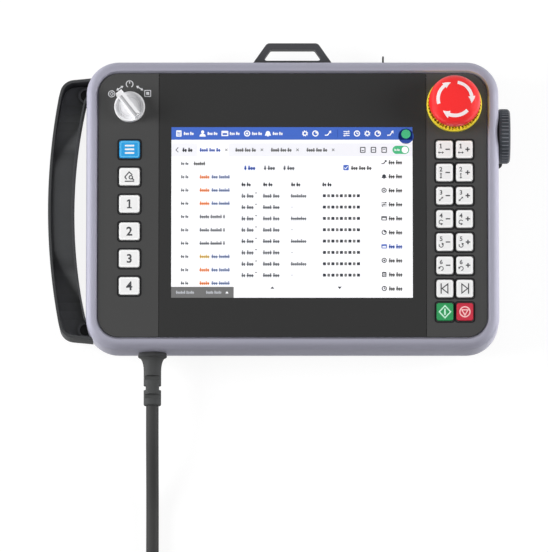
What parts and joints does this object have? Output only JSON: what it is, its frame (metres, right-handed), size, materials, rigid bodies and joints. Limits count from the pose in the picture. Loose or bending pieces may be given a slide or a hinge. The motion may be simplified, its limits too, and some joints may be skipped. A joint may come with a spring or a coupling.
{
  "type": "teach pendant",
  "caption": "Hand-held teach pendant with a touch screen, side key columns, mode knob, emergency stop, jog wheel, side grip, hanger loop and a coiled cable.",
  "frame": {"origin": "on the plane the pendant rests on when it lies on its back, under the middle of its body", "axes": "+Z out of the front panel, +Y towards the hanger loop, +X towards the jog wheel"},
  "size_m": [0.3122, 0.4936, 0.0703],
  "materials": {
    "frame_paint": "satin paint, pale violet-grey",
    "housing_plastic": "fine texture",
    "seal_rubber": "matt",
    "black_tape": "matt",
    "panel_glass": "smooth glass with a dark printed border; the display shows through it",
    "panel_film": "satin film",
    "display_metal": "plain sheet metal",
    "board": "solder mask",
    "mat_rubber": "matt",
    "stop_yellow": "smooth",
    "nut_plastic": "smooth",
    "block_plastic": "smooth",
    "plunger_plastic": "smooth",
    "stop_red": "smooth",
    "knob_plastic": "satin",
    "wheel_plastic": "ribbed, satin",
    "bush_brass": "turned",
    "grip_plastic": "fine texture",
    "screw_steel": "plated",
    "hanger_plastic": "satin",
    "paddle_plastic": "fine texture",
    "cover_rubber": "matt",
    "port_steel": "plated",
    "foot_rubber": "matt",
    "boot_rubber": "matt",
    "cable_sheath": "satin sheath",
    "tie_strap": "hook and loop strap",
    "plug_plastic": "smooth",
    "ring_metal": "knurled",
    "key_white": "satin",
    "key_blue": "satin",
    "key_green": "satin",
    "key_red": "satin"
  },
  "bodies": {
    "pendant": {"front_frame": "frame_paint", "rear_housing": "housing_plastic", "housing_seal": "seal_rubber", "panel_tape": "black_tape", "touch_glass": "panel_glass", "left_key_plate": "panel_film", "right_key_plate": "panel_film", "lcd_module": "display_metal", "main_board": "board", "key_boards": "board", "key_mats": "mat_rubber", "stop_collar": "stop_yellow", "stop_nut": "nut_plastic", "stop_contact_block": "block_plastic", "mode_switch": "block_plastic", "jog_bush": "bush_brass", "jog_encoder": "block_plastic", "hand_grip": "grip_plastic", "grip_screws": "screw_steel", "hanger_loop": "hanger_plastic", "hanger_screws": "screw_steel", "enabling_switch": "block_plastic", "usb_port": "port_steel", "rear_feet": "foot_rubber", "rear_screws": "screw_steel", "cable_boot": "boot_rubber", "cable": "cable_sheath", "cable_coil": "cable_sheath", "cable_tail": "cable_sheath", "coil_tie": "tie_strap", "plug_body": "plug_plastic", "plug_ring": "ring_metal"},
    "stop_plunger": {"stop_plunger": "plunger_plastic"},
    "stop_cap": {"stop_cap": "stop_red"},
    "mode_knob": {"mode_knob": "knob_plastic"},
    "jog_wheel": {"jog_wheel": "wheel_plastic"},
    "enabling_paddle": {"enabling_paddle": "paddle_plastic"},
    "usb_cover": {"usb_cover": "cover_rubber"},
    "left_key_1": {"left_key_1": "key_blue"},
    "left_key_2": {"left_key_2": "key_white"},
    "left_key_3": {"left_key_3": "key_white"},
    "left_key_4": {"left_key_4": "key_white"},
    "left_key_5": {"left_key_5": "key_white"},
    "left_key_6": {"left_key_6": "key_white"},
    "right_key_1a": {"right_key_1a": "key_white"},
    "right_key_1b": {"right_key_1b": "key_white"},
    "right_key_2a": {"right_key_2a": "key_white"},
    "right_key_2b": {"right_key_2b": "key_white"},
    "right_key_3a": {"right_key_3a": "key_white"},
    "right_key_3b": {"right_key_3b": "key_white"},
    "right_key_4a": {"right_key_4a": "key_white"},
    "right_key_4b": {"right_key_4b": "key_white"},
    "right_key_5a": {"right_key_5a": "key_white"},
    "right_key_5b": {"right_key_5b": "key_white"},
    "right_key_6a": {"right_key_6a": "key_white"},
    "right_key_6b": {"right_key_6b": "key_white"},
    "right_key_7a": {"right_key_7a": "key_white"},
    "right_key_7b": {"right_key_7b": "key_white"},
    "right_key_8a": {"right_key_8a": "key_green"},
    "right_key_8b": {"right_key_8b": "key_red"}
  },
  "joints": [
    {"name": "stop_push", "type": "slide", "parent": "pendant", "child": "stop_plunger", "axis": [0, 0, -1], "range_m": [0, 0.004]},
    {"name": "stop_twist", "type": "hinge", "parent": "stop_plunger", "child": "stop_cap", "pos_m": [0.109, 0.0681, 0.054], "axis": [0, 0, -1], "range_deg": [0, 45], "stiffness_Nm_per_rad": 0.02},
    {"name": "mode_turn", "type": "hinge", "parent": "pendant", "child": "mode_knob", "pos_m": [-0.1098, 0.0665, 0.044], "axis": [0, 0, -1], "range_deg": [0, 76]},
    {"name": "wheel_spin", "type": "hinge", "parent": "pendant", "child": "jog_wheel", "pos_m": [0.1393, 0.05, 0.0242], "axis": [1, 0, 0], "continuous": true},
    {"name": "paddle_press", "type": "slide", "parent": "pendant", "child": "enabling_paddle", "axis": [0, 0, 1], "range_m": [0, 0.003], "stiffness_N_per_m": 2500},
    {"name": "usb_open", "type": "hinge", "parent": "pendant", "child": "usb_cover", "pos_m": [0.0378, 0.098, 0.029], "axis": [0, 0, 1], "range_deg": [0, 100]},
    {"name": "left_key_1_press", "type": "slide", "parent": "pendant", "child": "left_key_1", "axis": [0, 0, -1], "range_m": [0, 0.0006], "stiffness_N_per_m": 1500},
    {"name": "left_key_2_press", "type": "slide", "parent": "pendant", "child": "left_key_2", "axis": [0, 0, -1], "range_m": [0, 0.0006], "stiffness_N_per_m": 1500},
    {"name": "left_key_3_press", "type": "slide", "parent": "pendant", "child": "left_key_3", "axis": [0, 0, -1], "range_m": [0, 0.0006], "stiffness_N_per_m": 1500},
    {"name": "left_key_4_press", "type": "slide", "parent": "pendant", "child": "left_key_4", "axis": [0, 0, -1], "range_m": [0, 0.0006], "stiffness_N_per_m": 1500},
    {"name": "left_key_5_press", "type": "slide", "parent": "pendant", "child": "left_key_5", "axis": [0, 0, -1], "range_m": [0, 0.0006], "stiffness_N_per_m": 1500},
    {"name": "left_key_6_press", "type": "slide", "parent": "pendant", "child": "left_key_6", "axis": [0, 0, -1], "range_m": [0, 0.0006], "stiffness_N_per_m": 1500},
    {"name": "right_key_1a_press", "type": "slide", "parent": "pendant", "child": "right_key_1a", "axis": [0, 0, -1], "range_m": [0, 0.0006], "stiffness_N_per_m": 1500},
    {"name": "right_key_1b_press", "type": "slide", "parent": "pendant", "child": "right_key_1b", "axis": [0, 0, -1], "range_m": [0, 0.0006], "stiffness_N_per_m": 1500},
    {"name": "right_key_2a_press", "type": "slide", "parent": "pendant", "child": "right_key_2a", "axis": [0, 0, -1], "range_m": [0, 0.0006], "stiffness_N_per_m": 1500},
    {"name": "right_key_2b_press", "type": "slide", "parent": "pendant", "child": "right_key_2b", "axis": [0, 0, -1], "range_m": [0, 0.0006], "stiffness_N_per_m": 1500},
    {"name": "right_key_3a_press", "type": "slide", "parent": "pendant", "child": "right_key_3a", "axis": [0, 0, -1], "range_m": [0, 0.0006], "stiffness_N_per_m": 1500},
    {"name": "right_key_3b_press", "type": "slide", "parent": "pendant", "child": "right_key_3b", "axis": [0, 0, -1], "range_m": [0, 0.0006], "stiffness_N_per_m": 1500},
    {"name": "right_key_4a_press", "type": "slide", "parent": "pendant", "child": "right_key_4a", "axis": [0, 0, -1], "range_m": [0, 0.0006], "stiffness_N_per_m": 1500},
    {"name": "right_key_4b_press", "type": "slide", "parent": "pendant", "child": "right_key_4b", "axis": [0, 0, -1], "range_m": [0, 0.0006], "stiffness_N_per_m": 1500},
    {"name": "right_key_5a_press", "type": "slide", "parent": "pendant", "child": "right_key_5a", "axis": [0, 0, -1], "range_m": [0, 0.0006], "stiffness_N_per_m": 1500},
    {"name": "right_key_5b_press", "type": "slide", "parent": "pendant", "child": "right_key_5b", "axis": [0, 0, -1], "range_m": [0, 0.0006], "stiffness_N_per_m": 1500},
    {"name": "right_key_6a_press", "type": "slide", "parent": "pendant", "child": "right_key_6a", "axis": [0, 0, -1], "range_m": [0, 0.0006], "stiffness_N_per_m": 1500},
    {"name": "right_key_6b_press", "type": "slide", "parent": "pendant", "child": "right_key_6b", "axis": [0, 0, -1], "range_m": [0, 0.0006], "stiffness_N_per_m": 1500},
    {"name": "right_key_7a_press", "type": "slide", "parent": "pendant", "child": "right_key_7a", "axis": [0, 0, -1], "range_m": [0, 0.0006], "stiffness_N_per_m": 1500},
    {"name": "right_key_7b_press", "type": "slide", "parent": "pendant", "child": "right_key_7b", "axis": [0, 0, -1], "range_m": [0, 0.0006], "stiffness_N_per_m": 1500},
    {"name": "right_key_8a_press", "type": "slide", "parent": "pendant", "child": "right_key_8a", "axis": [0, 0, -1], "range_m": [0, 0.0006], "stiffness_N_per_m": 1500},
    {"name": "right_key_8b_press", "type": "slide", "parent": "pendant", "child": "right_key_8b", "axis": [0, 0, -1], "range_m": [0, 0.0006], "stiffness_N_per_m": 1500}
  ]
}
